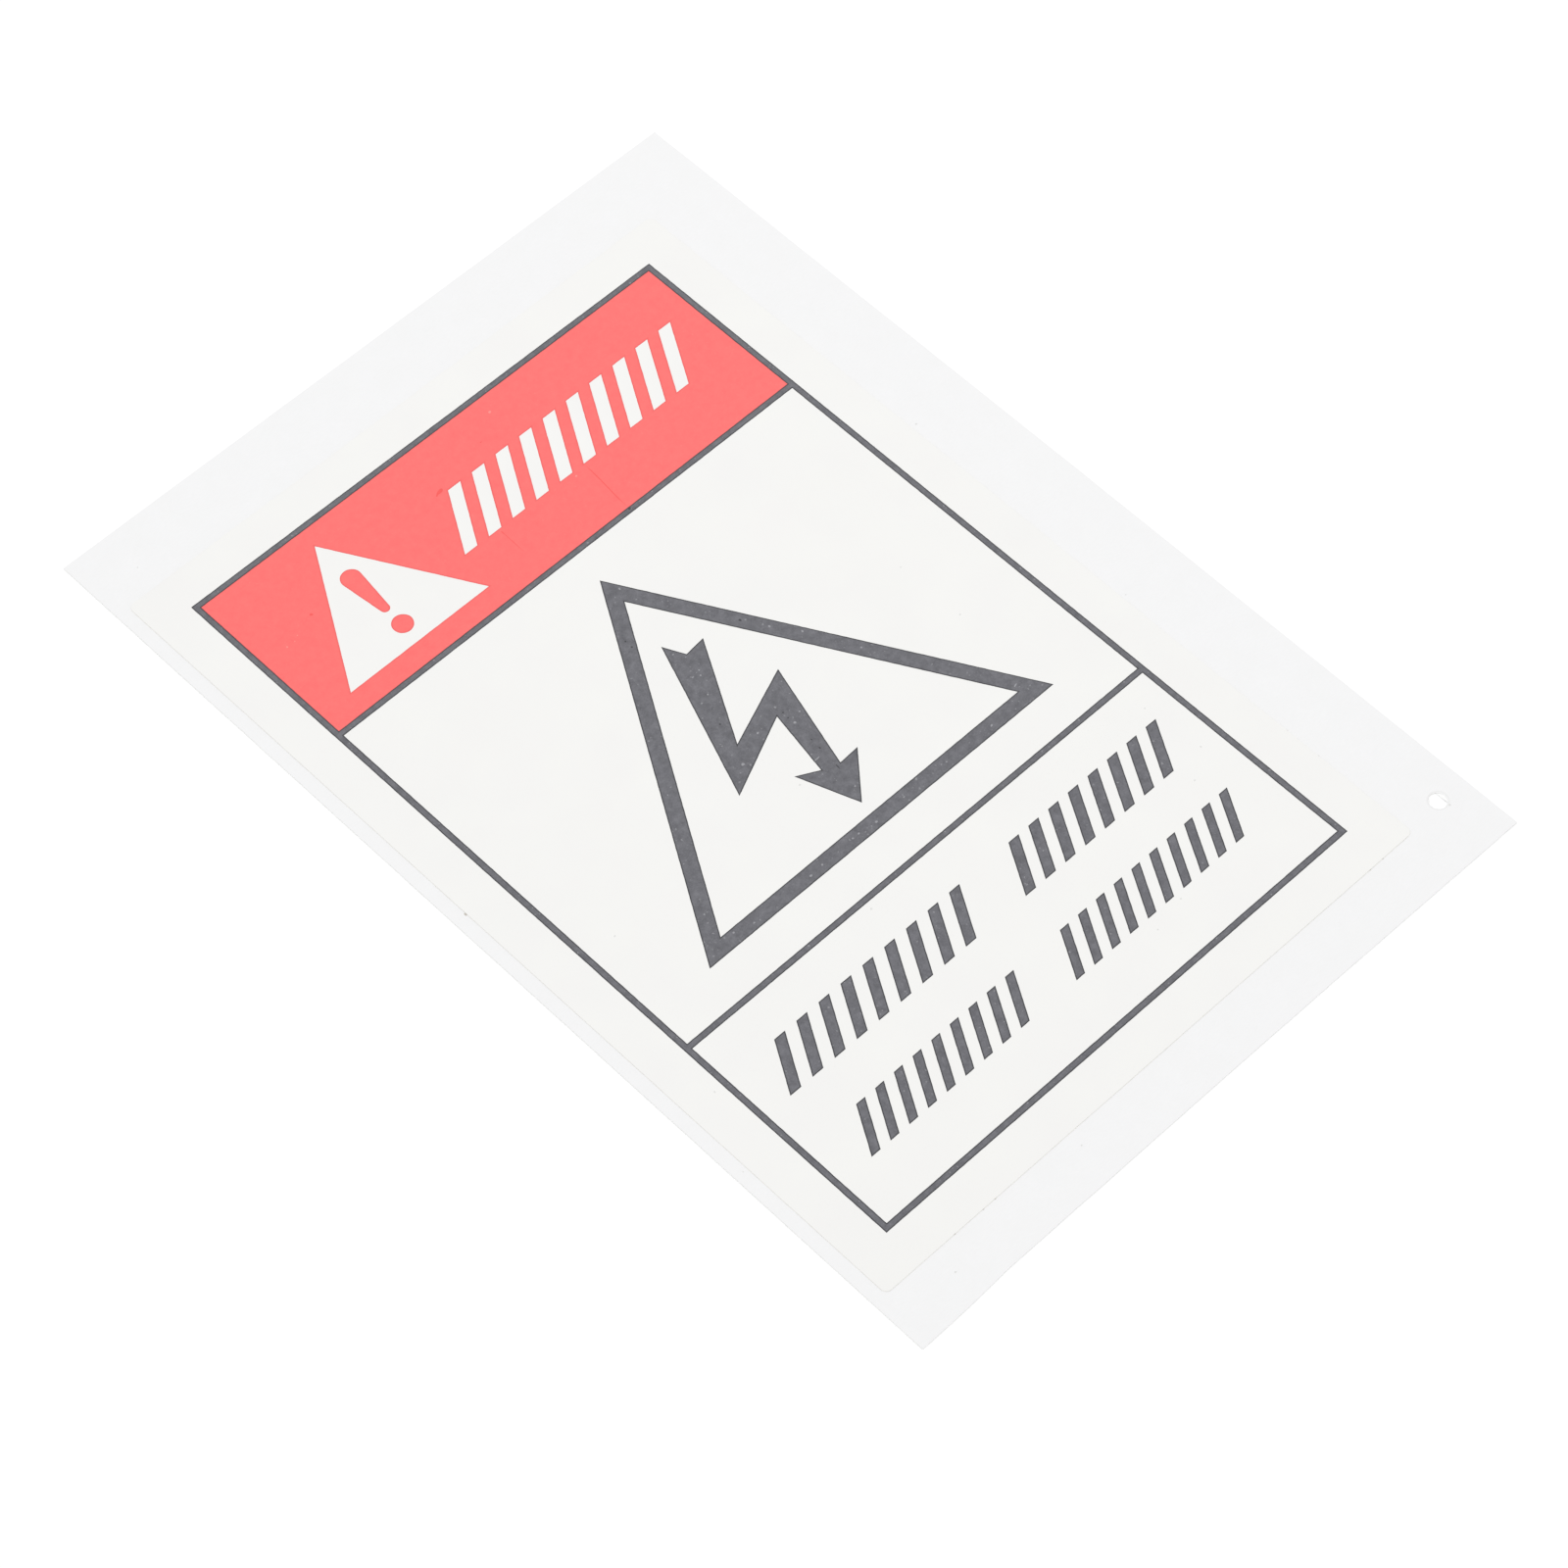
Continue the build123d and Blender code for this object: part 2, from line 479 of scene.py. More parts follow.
# %% [markdown]
# ## Release liner
#
# The liner is glassine paper with a thin coat of silicone on the side that meets the label.
# Silicone makes it smooth and faintly glossy, and a shade cooler than the label. It was cut by
# a guillotine, so its edges are straight and crisp with a trace of wander. Two of them are a
# trace off: the lower edge is trimmed a little hollow, and the right edge runs in by a third of
# a millimetre towards its lower end. A hole is punched near the lower right corner.
#
# The material mixes two near-white tones in soft clouds and adds the short faint fibres of the
# paper. The clouds stir the gloss as well, and a broad shallow wave in the relief stands for a
# sheet that doesn't lie dead flat.

# %% Material: silicone-coated glassine


def sheet_waves(tree, mm, fine_bump, fine_depth, wave_length=33.0, wave_height=0.25):
    """Broad waves of a sheet that doesn't lie dead flat, with a fine relief on top, as a normal."""
    waves = add_node(
        tree, "ShaderNodeTexNoise", {"Vector": mm, "Scale": 1 / wave_length, "Detail": 0.0}
    )
    broad = add_node(
        tree,
        "ShaderNodeBump",
        {"Height": waves.outputs[0], "Strength": 1.0, "Distance": wave_height * MM},
    )
    fine = add_node(
        tree,
        "ShaderNodeBump",
        {
            "Height": fine_bump,
            "Strength": 1.0,
            "Distance": fine_depth * MM,
            "Normal": broad.outputs[0],
        },
    )
    return fine.outputs[0]


liner_glassine, tree, shader, mm = start_material("silicone-coated glassine")
# Formation clouds of the paper pulp, about 4 mm across
clouds = add_node(
    tree, "ShaderNodeTexNoise", {"Vector": mm, "Scale": 1 / 4, "Detail": 2.0}
)
# Fibres are about 0.8 mm by 0.03 mm, drawn 0.14 mm wide here so that they show at all
fibre_place = add_node(
    tree, "ShaderNodeVectorMath", {0: mm, 1: (1 / 0.8, 1 / 0.14, 1.0)}, operation="MULTIPLY"
)
fibres = add_node(
    tree,
    "ShaderNodeTexNoise",
    {"Vector": fibre_place.outputs[0], "Scale": 1.0, "Detail": 2.0, "Distortion": 0.6},
)
pulp = add_node(
    tree,
    "ShaderNodeMix",
    {0: clouds.outputs[0], MIX_A: srgb("#e7e7e7"), MIX_B: srgb("#ebebec")},
    data_type="RGBA",
)
fibre_mask = add_node(
    tree,
    "ShaderNodeMapRange",
    {"Value": fibres.outputs[0], "From Min": 0.3, "From Max": 0.7, "To Max": 0.5},
)
liner_tone = add_node(
    tree,
    "ShaderNodeMix",
    {0: fibre_mask.outputs[0], MIX_A: pulp.outputs[MIX_COLOUR], MIX_B: srgb("#e5e5e5")},
    data_type="RGBA",
)
tree.links.new(liner_tone.outputs[MIX_COLOUR], shader.inputs["Base Color"])
liner_gloss = add_node(
    tree,
    "ShaderNodeMapRange",
    {"Value": clouds.outputs[0], "To Min": 0.38, "To Max": 0.48},
)
tree.links.new(liner_gloss.outputs[0], shader.inputs["Roughness"])
shader.inputs["IOR"].default_value = 1.42
liner_relief = sheet_waves(tree, mm, fibres.outputs[0], 0.002)
tree.links.new(liner_relief, shader.inputs["Normal"])

# %% Material: bare paper of the back and the cut edges
# Without its coat the paper is matt and a trace warmer, with soft pulp 1.5 mm across
bare_paper, tree, shader, mm = start_material("bare glassine paper")
pulp = add_node(tree, "ShaderNodeTexNoise", {"Vector": mm, "Scale": 1 / 1.5, "Detail": 5.0})
bare_tone = add_node(
    tree,
    "ShaderNodeMix",
    {0: pulp.outputs[0], MIX_A: srgb("#ececea"), MIX_B: srgb("#f4f4f3")},
    data_type="RGBA",
)
tree.links.new(bare_tone.outputs[MIX_COLOUR], shader.inputs["Base Color"])
shader.inputs["Roughness"].default_value = 0.75
shader.inputs["IOR"].default_value = 1.45
bare_relief = add_node(
    tree,
    "ShaderNodeBump",
    {"Height": pulp.outputs[0], "Strength": 1.0, "Distance": 0.01 * MM},
)
tree.links.new(bare_relief.outputs[0], shader.inputs["Normal"])

# %% Mesh: liner sheet with its hole
liner_hollow = 0.46
liner_runs_in = 0.34
liner_ease = 0.012

# The hollow sets in over these shares of the width, from the left corner and from the right
hollow_from_left = 0.14
hollow_from_right = 0.6

# Both trims fade out inwards within a twelfth of the sheet. Along the right edge, the run-in
# fades out over the lower half.
trim_parts = 12
run_in_parts = 2

liner_section = [
    (liner_ease, 0.0, 1.0),
    (0.0, liner_ease, 1.0),
    (0.0, liner_top - liner_ease, 1.0),
    (liner_ease, liner_top, 0.0),
]


def trim_off_square(point):
    """Lift the lower edge between its corners, and draw in the lower half of the right edge."""
    across = (point.x - liner_low.x) / (liner_high.x - liner_low.x)
    up = (point.y - liner_low.y) / (liner_high.y - liner_low.y)
    from_left = min(1.0, across / hollow_from_left)
    from_right = min(1.0, (1 - across) / hollow_from_right)
    lift = liner_hollow * from_left ** 2 * sin(from_right * pi / 2)
    near_foot = max(0.0, 1 - up * trim_parts)
    near_right = max(0.0, 1 - (1 - across) * trim_parts)
    draw_in = liner_runs_in * max(0.0, 1 - up * run_in_parts)
    return Vector((point.x - draw_in * near_right, point.y + lift * near_foot))


def edge_inside(outlines, margin):
    """Draw outlines in by a margin, so that a wandering edge stays within the frame's box."""
    return [inset(outline, margin) for outline in outlines]


# The sheet's outline has four corners and gets points along its runs, and the hole's gets rounder
liner_wander = 0.03
liner_outlines = edge_inside(top_outlines("release_liner"), liner_wander)
liner_outlines = [
    round_out(outline) if len(outline) > 4 else add_points(outline, spacing=2.0, clear=0.5)
    for outline in liner_outlines
]
liner_outlines = [[trim_off_square(point) for point in outline] for outline in liner_outlines]
liner_builder = build_film(liner_outlines, liner_section, liner_wander, period=6.0, spacing=0.5)
face_and_rest(liner_builder)
finish_piece(
    "liner_sheet",
    liner_builder,
    [liner_glassine, bare_paper],
    ["release_liner"],
)

# %% [markdown]
# ## Vinyl label
#
# The label is calendered PVC film, rolled to thickness between polished rollers. That gives an
# even satin white, a shade warmer than the liner, with a very fine orange peel in its gloss. The
# knife that kiss-cut it rounds the top edge slightly. Under the film lies the adhesive, which
# creeps out at the cut. Its brownish line is partly dirt and partly painted shade at the foot of
# the cut edge.

# %% Material: calendered vinyl film
label_vinyl, tree, shader, mm = start_material("calendered vinyl film")
# Faint clouds in the film, about 9 mm across
clouds = add_node(
    tree, "ShaderNodeTexNoise", {"Vector": mm, "Scale": 1 / 9, "Detail": 2.0}
)
film_tone = add_node(
    tree,
    "ShaderNodeMix",
    {0: clouds.outputs[0], MIX_A: srgb("#e5e4e3"), MIX_B: srgb("#e8e8e5")},
    data_type="RGBA",
)
# Orange peel of the rollers is about 0.1 mm, drawn 0.5 mm here so that it shows
peel = add_node(tree, "ShaderNodeTexNoise", {"Vector": mm, "Scale": 1 / 0.5, "Detail": 1.0})
# Handling leaves duller and glossier patches, about 14 mm across
smudges = add_node(
    tree, "ShaderNodeTexNoise", {"Vector": mm, "Scale": 1 / 14, "Detail": 4.0}
)
film_gloss = add_node(
    tree,
    "ShaderNodeMapRange",
    {"Value": smudges.outputs[0], "From Min": 0.3, "From Max": 0.7, "To Min": 0.3, "To Max": 0.38},
)
tree.links.new(film_tone.outputs[MIX_COLOUR], shader.inputs["Base Color"])
tree.links.new(film_gloss.outputs[0], shader.inputs["Roughness"])
shader.inputs["IOR"].default_value = 1.53
film_relief = sheet_waves(tree, mm, peel.outputs[0], 0.0015)
tree.links.new(film_relief, shader.inputs["Normal"])

# %% Material: cut edge of the vinyl
# The cut edge is painted a shade lighter than the film's face, as painted light that eases the
# shade on the walls
cut_vinyl_painted_light, _, shader, _ = start_material("cut edge of vinyl film, painted lighter")
shader.inputs["Base Color"].default_value = srgb("#f3f1ec")
shader.inputs["Roughness"].default_value = 0.6
shader.inputs["IOR"].default_value = 1.53

# %% Mesh: label film
adhesive_depth = 0.02
film_ease = 0.01
film_round = 0.04
film_shoulder = 0.3
film_wander = 0.02

film_section = [
    (film_ease, liner_top + adhesive_depth, 1.0),
    (0.0, liner_top + adhesive_depth + film_ease, 1.0),
    (0.0, label_top - film_round, 1.0),
    (film_round * film_shoulder, label_top - film_round * film_shoulder, 0.5),
    (film_round, label_top, 0.0),
]
label_outlines = edge_inside(top_outlines("vinyl_label"), film_wander)
label_outlines = [round_out(round_out(outline)) for outline in label_outlines]
film_builder = build_film(label_outlines, film_section, film_wander, period=5.0, spacing=0.5)
face_and_rest(film_builder)
finish_piece("label_film", film_builder, [label_vinyl, cut_vinyl_painted_light], ["vinyl_label"])

# %% Material and mesh: adhesive under the film
# Acrylic adhesive is clear and glossy. Its brownish stretches of about 3 mm are partly dirt and
# partly painted shade at the foot of the cut edge
label_adhesive, tree, shader, mm = start_material("acrylic adhesive with edge dirt and painted shade")
dirt = add_node(
    tree, "ShaderNodeTexNoise", {"Vector": mm, "Scale": 1 / 3, "Detail": 3.0}
)
dirt_and_shade_mask = add_node(
    tree,
    "ShaderNodeMapRange",
    {"Value": dirt.outputs[0], "From Min": 0.35, "From Max": 0.75},
)
adhesive_tone = add_node(
    tree,
    "ShaderNodeMix",
    {0: dirt_and_shade_mask.outputs[0], MIX_A: srgb("#ebe9e4"), MIX_B: srgb("#d8d2c8")},
    data_type="RGBA",
)
tree.links.new(adhesive_tone.outputs[MIX_COLOUR], shader.inputs["Base Color"])
shader.inputs["Roughness"].default_value = 0.35
shader.inputs["IOR"].default_value = 1.47

# The layer bulges out low down, and reaches a little way up into the film so that no gap shows
adhesive_bulge = 0.012
adhesive_bulge_height = 0.4
adhesive_tuck = 0.02
adhesive_overlap = 0.006
adhesive_wander = 0.03
adhesive_section = [
    (0.0, liner_top, 1.0),
    (-adhesive_bulge, liner_top + adhesive_depth * adhesive_bulge_height, 1.0),
    (adhesive_tuck, liner_top + adhesive_depth + adhesive_overlap, 1.0),
]
adhesive_builder = build_film(
    label_outlines, adhesive_section, adhesive_wander, period=1.3, spacing=0.4
)
finish_piece("label_adhesive", adhesive_builder, [label_adhesive])

# %% [markdown]
# ## The two inks
#
# Both inks were pulled through a screen. The mesh of the screen leaves a fine, nearly regular
# relief, and the ink lies in soft mottles. A narrow rim along the border of each print is painted
# darker, and the dark ink stands a trace proud there. The red ink went down first, and the dark
# frame line was printed over its edge, so the red film is the thinner one and runs a little under
# the line.

# %% Material: screen-printed inks


def pinhole_mask(tree, mm):
    """Where the ink lies thin: ragged dots up to 0.36 mm wide, at most one to a 0.6 mm cell."""
    ragged = add_node(tree, "ShaderNodeTexNoise", {"Vector": mm, "Scale": 1 / 0.25})
    place = add_node(
        tree,
        "ShaderNodeVectorMath",
        {0: ragged.outputs["Color"], 1: (0.5, 0.5, 0.5), 2: mm},
        operation="MULTIPLY_ADD",
    )
    cells = add_node(tree, "ShaderNodeTexVoronoi", {"Vector": place.outputs[0], "Scale": 1 / 0.6})
    chance = add_node(tree, "ShaderNodeSeparateColor", {0: cells.outputs["Color"]})
    size = add_node(
        tree,
        "ShaderNodeMapRange",
        {"Value": chance.outputs[0], "From Min": 0.3, "To Max": 0.3},
    )
    depth = add_node(
        tree,
        "ShaderNodeMath",
        {0: size.outputs[0], 1: cells.outputs["Distance"]},
        operation="SUBTRACT",
    )
    mask = add_node(
        tree,
        "ShaderNodeMapRange",
        {"Value": depth.outputs[0], "From Max": 0.2, "To Max": 0.5},
    )
    return mask.outputs[0]


def screen_ink(name, tone, mottle_tone, rim_tone, pinhole_tone, gloss):
    """A screen-printed ink: mottled and pinholed, with a darker rim along its border."""
    material, tree, shader, mm = start_material(name)
    # Mottle where the ink wetted the film unevenly, about 1 mm across and finer
    mottle = add_node(
        tree,
        "ShaderNodeTexNoise",
        {"Vector": mm, "Scale": 1 / 1.2, "Detail": 6.0, "Roughness": 0.85},
    )
    # The screen has about 10 threads to the millimetre, drawn 3.5 to show at this size
    mesh_marks = add_node(
        tree,
        "ShaderNodeTexVoronoi",
        {"Vector": mm, "Scale": 3.5, "Randomness": 0.55},
    )
    mottle_mask = add_node(
        tree,
        "ShaderNodeMapRange",
        {"Value": mottle.outputs[0], "From Min": 0.3, "From Max": 0.7},
    )
    mottled = add_node(
        tree,
        "ShaderNodeMix",
        {0: mottle_mask.outputs[0], MIX_A: srgb(tone), MIX_B: srgb(mottle_tone)},
        data_type="RGBA",
    )
    pinholed = add_node(
        tree,
        "ShaderNodeMix",
        {
            0: pinhole_mask(tree, mm),
            MIX_A: mottled.outputs[MIX_COLOUR],
            MIX_B: srgb(pinhole_tone),
        },
        data_type="RGBA",
    )
    # A narrow rim along the border is painted darker
    rim = add_node(tree, "ShaderNodeAttribute", attribute_name="ink_edge")
    rimmed = add_node(
        tree,
        "ShaderNodeMix",
        {0: rim.outputs["Fac"], MIX_A: pinholed.outputs[MIX_COLOUR], MIX_B: srgb(rim_tone)},
        data_type="RGBA",
    )
    shader.inputs["Roughness"].default_value = gloss
    shader.inputs["IOR"].default_value = 1.5
    relief = sheet_waves(tree, mm, mesh_marks.outputs[0], 0.003)
    tree.links.new(relief, shader.inputs["Normal"])
    tree.links.new(rimmed.outputs[MIX_COLOUR], shader.inputs["Base Color"])
    return material


dark_ink = screen_ink(
    "screen-printed black ink", "#47474d", "#6e6e74", "#24242a", "#aaaaae", 0.42
)
red_ink = screen_ink("screen-printed red ink", "#ef5d5c", "#f46965", "#dc4a47", "#f4746f", 0.36)

# %% Meshes: the ink films
# The dark film's top stays 0.002 mm under the solid's, so that nothing stands past it
ink_wander = 0.025
dark_ridge = print_top - 0.002
dark_level = print_top - 0.005
red_level = label_top + 0.01
under_the_line = 0.15

dark_section = [
    (0.0, label_top, 1.0),
    (0.01, dark_ridge - 0.004, 1.0),
    (0.05, dark_ridge, 1.0),
    (0.12, dark_level, 0.9),
    (0.22, dark_level, 0.0),
]
red_section = [
    (0.0, label_top, 1.0),
    (0.01, red_level - 0.003, 1.0),
    (0.05, red_level, 0.6),
    (0.3, red_level, 0.0),
]


def ink_film(name, node, section, material, spread=0.0):
    """One print: the node's outlines, with the outermost one spread under its neighbour."""
    outlines = [round_out(round_out(outline)) for outline in top_outlines(node)]
    outlines.sort(key=lambda outline: min(point.x for point in outline))
    if spread:
        outlines[0] = inset(outlines[0], -spread)
    builder = build_film(outlines, section, ink_wander)
    finish_piece(name, builder, [material], [node])


ink_film("header_ink", "header_print", red_section, red_ink, under_the_line)
ink_film("exclamation_mark_ink", "exclamation_mark_print", red_section, red_ink)
for print_name in ("frame", "hazard_triangle", "lightning_bolt", "upper_row", "lower_row"):
    ink_film(f"{print_name}_ink", f"{print_name}_print", dark_section, dark_ink)

# %% [markdown]
# ## What handling left behind
#
# A sticker that has been printed, cut, stacked and carried isn't spotless. There are pinholes
# in the ink where a grain of dust kept it off the film, specks that lie under or in the ink,
# two fine scratches in the red, dust on the white, and knots of dirt on the adhesive at the cut.
# Each is a tiny lens-shaped fleck or a low ridge of its own, so it is there from every side. A
# shader mask could paint them too, but it would need a node for each place, and a list of places
# is easier to read and to change.
#
# Every place is given from the label's middle, and every size is in millimetres. The places
# were read off an enlarged, squared-up photograph, to a few tenths of a millimetre. Three
# were moved by up to 0.7 mm to clear a stroke or the hole, and both scratches start below the
# row of strokes.

# %% Two tools: a fleck and a streak
FLECK_CORNERS = 12
FLECK_CROWN = 0.6
FLECK_SHOULDER = 0.8
FLECK_UNEVEN = 0.35
FLECK_VARIETY = 3
FLECK_LAYER = 0.5
STREAK_END = 0.25

# How far the foot of a fleck or a streak is sunk in, so that no gap shows under it
SUNK = 0.001


def add_fleck(builder, x, y, foot, length, width, height, heading):
    """A closed lens-shaped fleck with an uneven outline."""
    middle = on_label(x, y, foot)
    rim = []
    crown = []
    for k in range(FLECK_CORNERS):
        angle = 2 * pi * k / FLECK_CORNERS
        place = (x * FLECK_VARIETY + cos(angle), y * FLECK_VARIETY + sin(angle), FLECK_LAYER)
        uneven = 1 + FLECK_UNEVEN * noise.noise(Vector(place))
        along = cos(angle) * length / 2 * uneven
        across = sin(angle) * width / 2 * uneven
        reach = Vector(
            (
                along * cos(heading) - across * sin(heading),
                along * sin(heading) + across * cos(heading),
                0.0,
            )
        )
        shoulder = Vector((0, 0, height * FLECK_SHOULDER))
        rim.append(builder.verts.new(middle + reach))
        crown.append(builder.verts.new(middle + reach * FLECK_CROWN + shoulder))
    top = builder.verts.new(middle + Vector((0, 0, height)))
    builder.faces.new(list(reversed(rim)))
    join_rings(builder, rim, crown)
    for a, b in zip(crown, crown[1:] + crown[:1]):
        builder.faces.new((a, b, top))


def add_streak(builder, course, foot, width, height):
    """A closed low ridge along a course of points, tapering towards both ends."""
    points = [on_label(x, y, foot) for x, y in course]
    stations = []
    for i, here in enumerate(points):
        along = (points[min(i + 1, len(points) - 1)] - points[max(i - 1, 0)]).normalized()
        left = Vector((-along.y, along.x, 0.0))
        taper = STREAK_END if i in (0, len(points) - 1) else 1.0
        half = left * width / 2 * taper
        stations.append(
            (
                builder.verts.new(here + half),
                builder.verts.new(here + Vector((0, 0, height * taper))),
                builder.verts.new(here - half),
            )
        )
    for (left_a, crest_a, right_a), (left_b, crest_b, right_b) in zip(stations, stations[1:]):
        builder.faces.new((right_a, right_b, crest_b, crest_a))
        builder.faces.new((left_b, left_a, crest_a, crest_b))
        builder.faces.new((left_a, left_b, right_b, right_a))
    left, crest, right = stations[0]
    builder.faces.new((right, crest, left))
    left, crest, right = stations[-1]
    builder.faces.new((left, crest, right))


def fleck_material(name, tone, other_tone, roughness):
    """A speck's material: two close tones in fine grain, which keep it from looking flat."""
    material, tree, shader, mm = start_material(name)
    grain = add_node(tree, "ShaderNodeTexNoise", {"Vector": mm, "Scale": 1 / 0.15, "Detail": 2.0})
    mixed = add_node(
        tree,
        "ShaderNodeMix",
        {0: grain.outputs[0], MIX_A: srgb(tone), MIX_B: srgb(other_tone)},
        data_type="RGBA",
    )
    tree.links.new(mixed.outputs[MIX_COLOUR], shader.inputs["Base Color"])
    shader.inputs["Roughness"].default_value = roughness
    return material


def fleck_piece(name, marks, level, height, material):
    """One piece made of flecks, each given by its place, length, width and heading in degrees."""
    builder = bmesh.new()
    for x, y, length, width, heading in marks:
        add_fleck(builder, x, y, level - SUNK, length, width, height, radians(heading))
    finish_piece(name, builder, [material])


# %% Red ink: darker spots, pinholes and two scratches
# Where the ink lies thick it is deeper and redder, and where it lies thin the white shows through
thick_red = fleck_material("thick spot of red ink", "#eb4642", "#ee4f4b", 0.4)
thin_red = fleck_material("thin spot of red ink", "#f4807a", "#f08c86", 0.4)

red_spots = [
    (-5.6, 59.4, 1.7, 0.75, 15),
    (-6.3, 59.2, 0.8, 0.4, 30),
    (-32.6, 56.1, 0.7, 0.6, 0),
    (4.4, 61.8, 0.5, 0.2, 5),
    (-4.1, 47.8, 0.25, 1.2, 0),
]
red_pinholes = [
    (8.9, 64.9, 0.65, 0.5, 20),
    (10.0, 47.9, 0.5, 0.45, 0),
    (-38.6, 54.3, 0.4, 0.3, 90),
    (-37.2, 54.3, 0.2, 0.2, 0),
    (-36.3, 54.8, 0.2, 0.2, 0),
]
red_fleck_height = 0.002
fleck_piece("red_spots", red_spots, red_level, red_fleck_height, thick_red)
fleck_piece("red_pinholes", red_pinholes, red_level, red_fleck_height, thin_red)

scratch_height = 0.003
scratch_widths = (0.24, 0.16)
scratch_courses = [
    [(12.2, 48.5), (12.15, 47.0), (12.0, 45.0), (11.8, 43.0), (11.6, 41.0), (11.5, 38.8)],
    [(-4.1, 48.4), (-4.1, 47.0), (-4.15, 45.0), (-4.2, 43.0)],
]
scratch_builder = bmesh.new()
for course, width in zip(scratch_courses, scratch_widths):
    add_streak(scratch_builder, course, red_level - SUNK, width, scratch_height)
finish_piece("red_scratches", scratch_builder, [thick_red])

# %% Black ink: darker spots and pinholes
# The same two as in the red: nearly black where the ink lies thick, grey where it lies thin
thick_black = fleck_material("thick spot of black ink", "#25252a", "#303035", 0.4)
thin_black = fleck_material("thin spot of black ink", "#838388", "#97979c", 0.45)

black_spots = [
    (-4.5, 22.2, 0.35, 0.35, 0),
    (-4.5, 20.9, 0.35, 0.4, 0),
    (2.8, -1.6, 0.35, 0.3, 0),
    (2.7, -2.7, 0.3, 0.3, 0),
    (-4.7, 3.05, 0.35, 0.3, 0),
    (2.5, -7.5, 0.25, 0.4, 0),
    (2.35, -9.3, 0.3, 0.4, 0),
    (1.95, -13.2, 0.2, 1.1, -8),
    (11.5, 38.5, 0.6, 0.5, 60),
    (9.3, 13.7, 0.4, 0.55, 0),
]
black_pinholes = [
    (-1.3, 16.0, 0.35, 0.3, 0),
    (-1.0, 10.8, 0.35, 0.35, 0),
    (-0.55, 11.6, 0.3, 0.3, 0),
    (-2.0, 11.3, 0.4, 0.25, 20),
    (-2.5, 7.8, 0.35, 0.35, 0),
    (-4.1, 7.3, 0.35, 0.25, 0),
    (-7.0, -3.9, 0.6, 0.55, 0),
    (-2.0, -1.6, 0.45, 0.4, 0),
    (2.8, -3.9, 0.5, 0.5, 30),
    (4.55, -3.05, 0.35, 0.3, 0),
    (0.8, -10.3, 1.2, 0.25, 3),
    (1.4, -17.1, 0.4, 0.3, 30),
    (11.5, 10.1, 0.4, 0.5, 0),
    (14.2, 6.3, 0.35, 0.5, 0),
    (18.1, -1.35, 0.35, 0.35, 0),
    (1.0, 29.3, 0.3, 0.5, 0),
    (-26.5, -22.4, 0.4, 0.35, 0),
    (-23.5, -23.2, 0.4, 0.25, 0),
    (-12.9, -23.2, 0.55, 0.4, 0),
    (-10.6, -23.0, 0.4, 0.35, 0),
    (-4.7, -22.9, 0.4, 0.35, 0),
    (-3.6, -22.9, 0.45, 0.35, 20),
    (-0.55, -23.2, 0.5, 0.4, 0),
    (4.9, -23.0, 0.35, 0.25, 0),
    (8.25, -22.0, 0.3, 0.25, 0),
    (13.1, -23.0, 0.3, 0.25, 0),
    (21.7, -23.1, 0.6, 0.35, 20),
    (28.8, -20.7, 0.9, 0.25, 20),
]
black_fleck_height = 0.003
fleck_piece("black_spots", black_spots, dark_level, black_fleck_height, thick_black)
fleck_piece(
    "black_pinholes", black_pinholes, dark_level, black_fleck_height, thin_black
)

# %% White label and liner: dust, and knots of dirt at the cut
# Dust is dull and light grey. Dirt that has stuck to the adhesive is browner, with some gloss.
grey_dust = fleck_material("grey dust", "#dcdcda", "#d2d2d0", 0.8)
cut_dirt = fleck_material("dirt on squeezed-out adhesive", "#c4bfb8", "#b4aea6", 0.5)

label_dust = [
    (-38.2, -11.7, 0.3, 0.25, 0),
    (-3.8, -11.7, 0.35, 0.3, 20),
    (31.8, -7.0, 0.3, 0.25, 0),
    (31.6, 4.5, 0.25, 0.2, 0),
    (-10.8, -32.6, 0.35, 0.3, 40),
    (35.0, -48.7, 0.35, 0.3, 0),
    (19.9, -60.4, 0.3, 0.3, 0),
    (14.2, -61.6, 0.3, 0.25, 0),
    (39.6, -45.5, 0.3, 0.3, 0),
    (38.7, -35.8, 0.3, 0.25, 0),
    (-45.2, -38.3, 0.35, 0.25, 70),
]
liner_dust = [
    (-41.4, -78.9, 0.32, 0.28, 0),
    (-16.6, -77.3, 0.32, 0.28, 0),
    (50.9, 20.8, 0.35, 0.3, 0),
    (50.7, -20.7, 0.3, 0.2, 0),
    (-44.6, 79.3, 0.25, 0.2, 60),
    (-50.7, -49.4, 0.18, 0.35, 0),
    # The last is a grey dot at the rim of the hang hole, drawn like the dust
    (56.8, -75.5, 0.42, 0.36, 0),
]

# The knots sit on the cut, so the frame gives one of each knot's two coordinates. The largest of
# them hangs over onto the liner.
cut_left = label_low.x - label_middle.x
cut_right = label_high.x - label_middle.x
cut_foot = label_low.y - label_middle.y
knot_overhang = 0.1
cut_knots = [
    (cut_left - knot_overhang, 4.8, 0.35, 0.5, 0),
    (-37.6, cut_foot, 0.35, 0.14, 0),
    (-32.4, cut_foot, 0.3, 0.12, 0),
    (-30.2, cut_foot, 0.35, 0.14, 0),
    (41.4, cut_foot, 0.35, 0.16, 0),
    (43.9, cut_foot, 0.3, 0.12, 0),
    (cut_right, -51.9, 0.12, 0.35, 0),
    (cut_right, -57.7, 0.1, 0.3, 0),
]
dust_height = 0.012
knot_height = 0.05
fleck_piece("label_dust", label_dust, label_top, dust_height, grey_dust)
fleck_piece("liner_dust", liner_dust, liner_top, dust_height, grey_dust)
fleck_piece("cut_knots", cut_knots, liner_top, knot_height, cut_dirt)
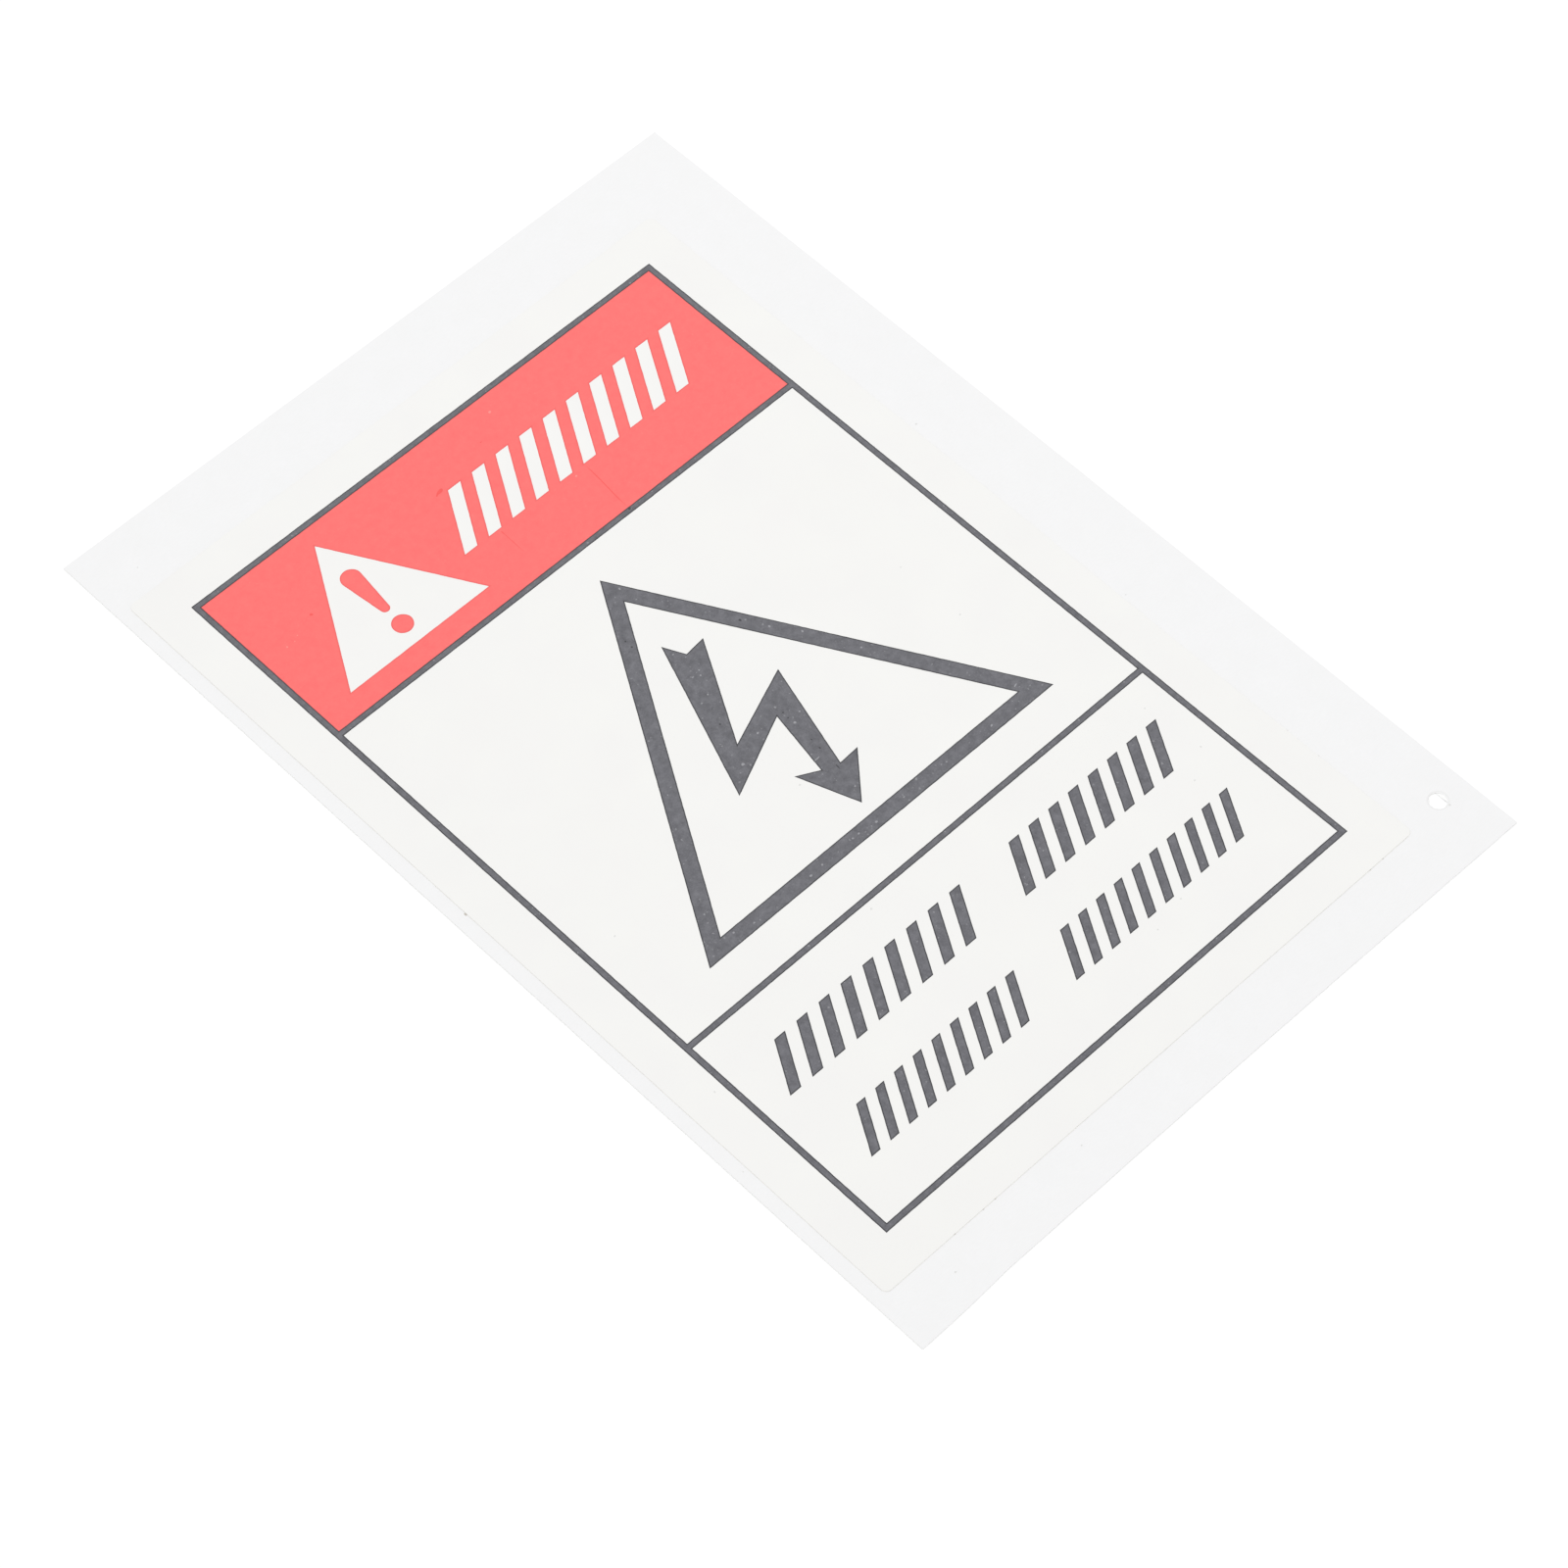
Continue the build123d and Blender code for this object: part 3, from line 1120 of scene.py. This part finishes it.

# %% [markdown]
# ## The flap in the hang hole
#
# The punch didn't quite clear the hole. A sliver of the paper it should have removed still
# hangs on at the right, bent down until its far end, torn thin, all but meets the table. Its
# near end stays a trace higher, so a short grey line of shade shows there. The sliver is painted
# lighter than the sheet, as painted light where it hangs low. The punch also pressed the paper
# round the hole, and the thin greyish ring there is painted shade of that pressed rim.

# %% Materials: torn paper, and the pressed ring with its painted shade
# Torn paper is rough and bright, and it is painted lighter still as painted light where it hangs
# low. Pressed paper is smoother, and painted greyer as the shade of its pressed rim
torn_paper_painted_light = fleck_material("torn glassine paper, painted lighter", "#eeeeee", "#f6f6f5", 0.7)
pressed_paper_and_shade = fleck_material("pressed paper with painted shade", "#dfdfdf", "#e5e5e5", 0.5)

# %% Mesh: a bent flap of paper
hole_outline = min(
    top_outlines("release_liner"),
    key=lambda outline: max(point.x for point in outline) - min(point.x for point in outline),
)
hole_middle = sum(hole_outline, Vector((0.0, 0.0))) / len(hole_outline)
hole_radius = (hole_outline[0] - hole_middle).length

# The flap's free edge is a chord at this distance from the hole's middle
flap_chord = 0.72
flap_seat = 0.01
flap_rows = 6
flap_columns = 24
flap_thickness = 0.03
flap_low = 0.012
flap_lift = 0.06
flap_bend = 1.5
flap_tear = 0.8
flap_ragged = 0.05

# The torn edge follows a noise with this many cells to the millimetre, in a layer of its own
flap_cells = 2.0
flap_layer = 3.0


def flap_level(builder, thickness):
    """The flap's points row by row, from its free edge to the paper, above its underside."""
    rows = []
    for r in range(flap_rows + 1):
        share = r / flap_rows
        x = flap_chord + (hole_radius - flap_chord) * share
        reach = sqrt((hole_radius + flap_seat) ** 2 - x ** 2)
        row = []
        for c in range(flap_columns + 1):
            y = reach * (2 * c / flap_columns - 1)
            far = c / flap_columns
            free = flap_low + flap_lift * (1 - far) ** 2
            rise = free + (liner_top - flap_thickness - free) * share ** flap_bend
            torn_thin = thickness * (1 - flap_tear * far * (1 - share))
            ragged = noise.noise(Vector((y * flap_cells, flap_layer, 0.0)))
            place_x = hole_middle.x + x + flap_ragged * ragged * (1 - share)
            row.append(builder.verts.new((place_x, hole_middle.y + y, rise + torn_thin)))
        rows.append(row)
    return rows


def border(rows):
    """The outer points of a grid, anticlockwise."""
    low_side = [row[0] for row in rows]
    high_side = [row[-1] for row in rows]
    return low_side + rows[-1][1:-1] + high_side[::-1] + rows[0][-2:0:-1]


flap_builder = bmesh.new()
flap_foot = flap_level(flap_builder, 0.0)
flap_top = flap_level(flap_builder, flap_thickness)
for near, far in zip(flap_top, flap_top[1:]):
    for a, b, c, d in zip(near, far, far[1:], near[1:]):
        flap_builder.faces.new((a, b, c, d))
for near, far in zip(flap_foot, flap_foot[1:]):
    for a, b, c, d in zip(near, far, far[1:], near[1:]):
        flap_builder.faces.new((d, c, b, a))
join_rings(flap_builder, border(flap_foot), border(flap_top))
finish_piece("hole_flap", flap_builder, [torn_paper_painted_light])

# %% Mesh: the ring that the punch pressed
ring_width = 0.2
ring_height = 0.003
ring_ease = 0.01
ring_wander = 0.02
ring_section = [(0.0, liner_top - SUNK, 1.0), (ring_ease, liner_top + ring_height, 0.0)]
hole_edge = edge_inside([round_out(hole_outline)], liner_wander)[0]
ring_outlines = [list(reversed(inset(hole_edge, ring_width))), hole_edge]
ring_builder = build_film(ring_outlines, ring_section, ring_wander, period=0.5, spacing=0.2)
finish_piece("punch_ring", ring_builder, [pressed_paper_and_shade])
